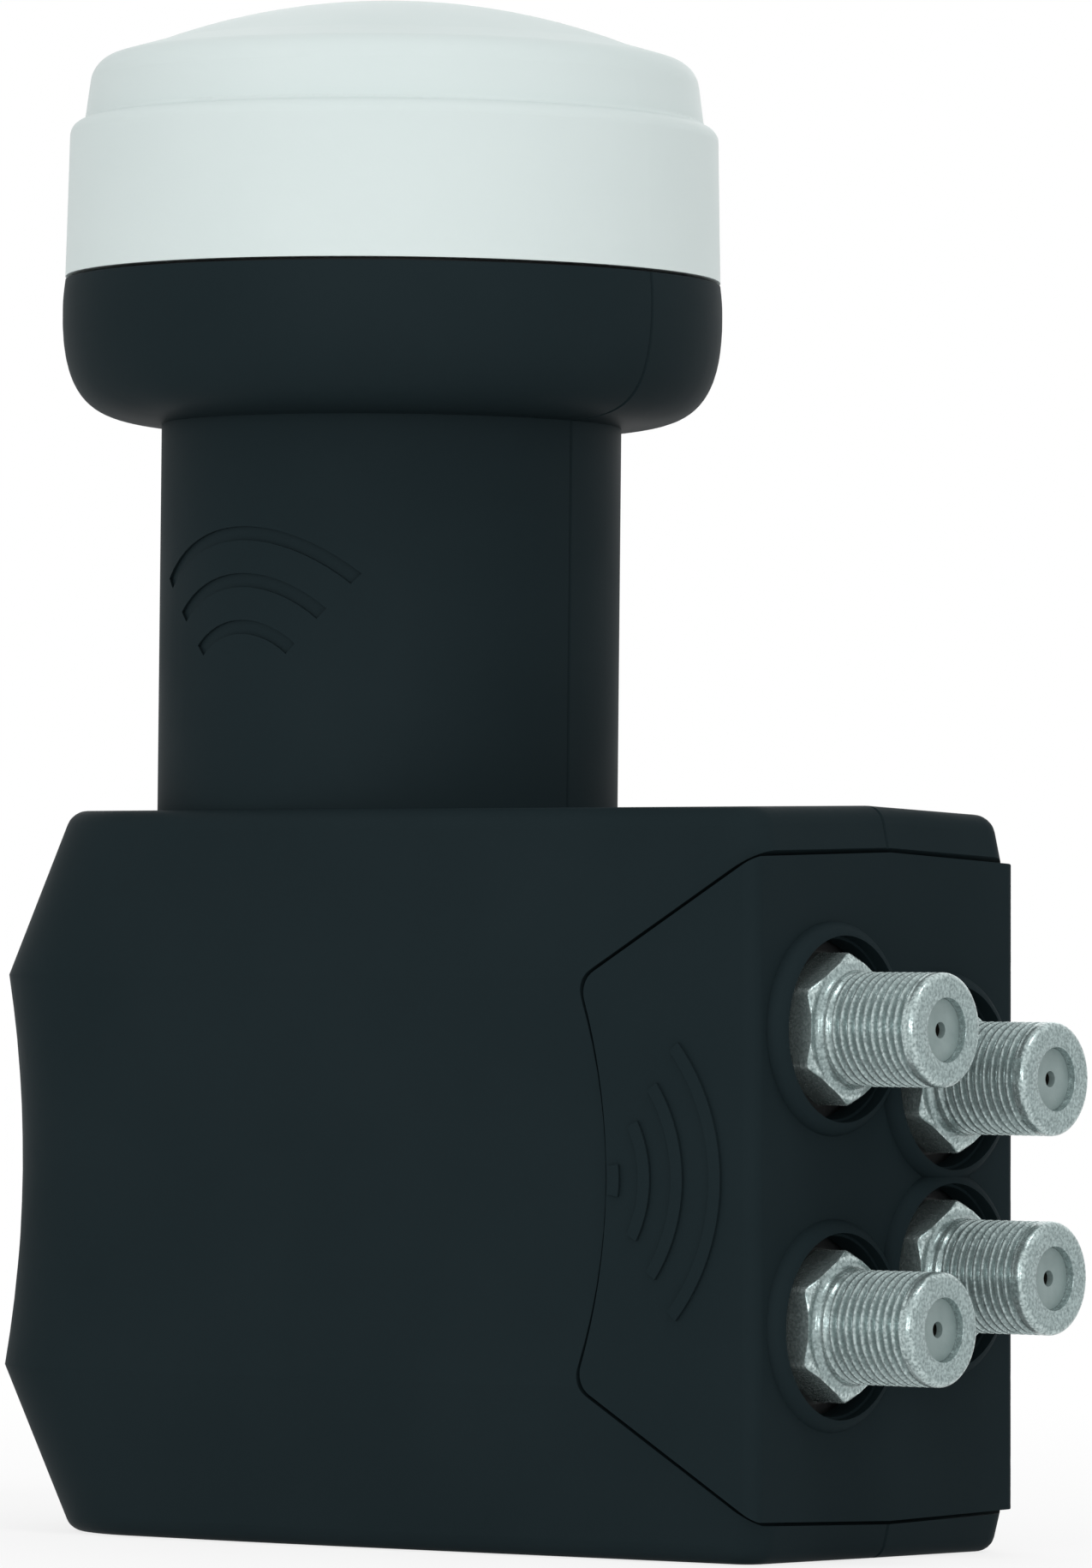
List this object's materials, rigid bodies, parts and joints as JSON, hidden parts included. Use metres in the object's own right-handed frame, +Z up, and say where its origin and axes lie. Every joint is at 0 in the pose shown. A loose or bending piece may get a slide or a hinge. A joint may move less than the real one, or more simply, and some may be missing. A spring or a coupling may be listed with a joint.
{
  "type": "satellite lnb",
  "caption": "Satellite low-noise block: domed feed cap and horn on a round clamp neck, dark clamshell box, sliding weather cover over staggered threaded sockets.",
  "frame": {"origin": "middle of the round clamp neck, on its axis", "axes": "+Z up the feed axis towards the cap, +X towards the sockets, -Y is the front face with the nearer pair of sockets"},
  "size_m": [0.0972, 0.0574, 0.1329],
  "materials": {
    "dark_housing": "fine moulded texture, satin",
    "dark_cover": "fine moulded texture, satin",
    "white_cap": "smooth satin moulding",
    "cast_metal": "as cast",
    "black_rubber": "matt",
    "circuit_board": "green solder resist",
    "chip_plastic": "matt black",
    "screw_steel": "bright zinc",
    "nickel_plate": "satin nickel plating",
    "white_insulator": "translucent white",
    "contact_bronze": "plated bronze"
  },
  "bodies": {
    "housing": {"cap_seal_ring": "black_rubber", "chassis": "cast_metal", "feed_cap": "white_cap", "front_board_chips": "chip_plastic", "front_board_screws": "screw_steel", "front_chassis_lid": "cast_metal", "front_circuit_board": "circuit_board", "front_housing_half": "dark_housing", "front_lid_gasket": "black_rubber", "front_lid_screws": "screw_steel", "lower_front_center_contact": "contact_bronze", "lower_front_socket_body": "nickel_plate", "lower_front_socket_insulator": "white_insulator", "lower_front_socket_washer": "nickel_plate", "lower_probe": "contact_bronze", "lower_probe_sleeve": "white_insulator", "lower_rear_center_contact": "contact_bronze", "lower_rear_socket_body": "nickel_plate", "lower_rear_socket_insulator": "white_insulator", "lower_rear_socket_washer": "nickel_plate", "rear_board_chips": "chip_plastic", "rear_board_screws": "screw_steel", "rear_chassis_lid": "cast_metal", "rear_circuit_board": "circuit_board", "rear_housing_half": "dark_housing", "rear_lid_gasket": "black_rubber", "rear_lid_screws": "screw_steel", "upper_front_center_contact": "contact_bronze", "upper_front_socket_body": "nickel_plate", "upper_front_socket_insulator": "white_insulator", "upper_front_socket_washer": "nickel_plate", "upper_probe": "contact_bronze", "upper_probe_sleeve": "white_insulator", "upper_rear_center_contact": "contact_bronze", "upper_rear_socket_body": "nickel_plate", "upper_rear_socket_insulator": "white_insulator", "upper_rear_socket_washer": "nickel_plate"},
    "cover": {"connector_cover": "dark_cover"}
  },
  "joints": [
    {"name": "cover_slide", "type": "slide", "parent": "housing", "child": "cover", "axis": [1, 0, 0], "range_m": [0, 0.02]}
  ]
}
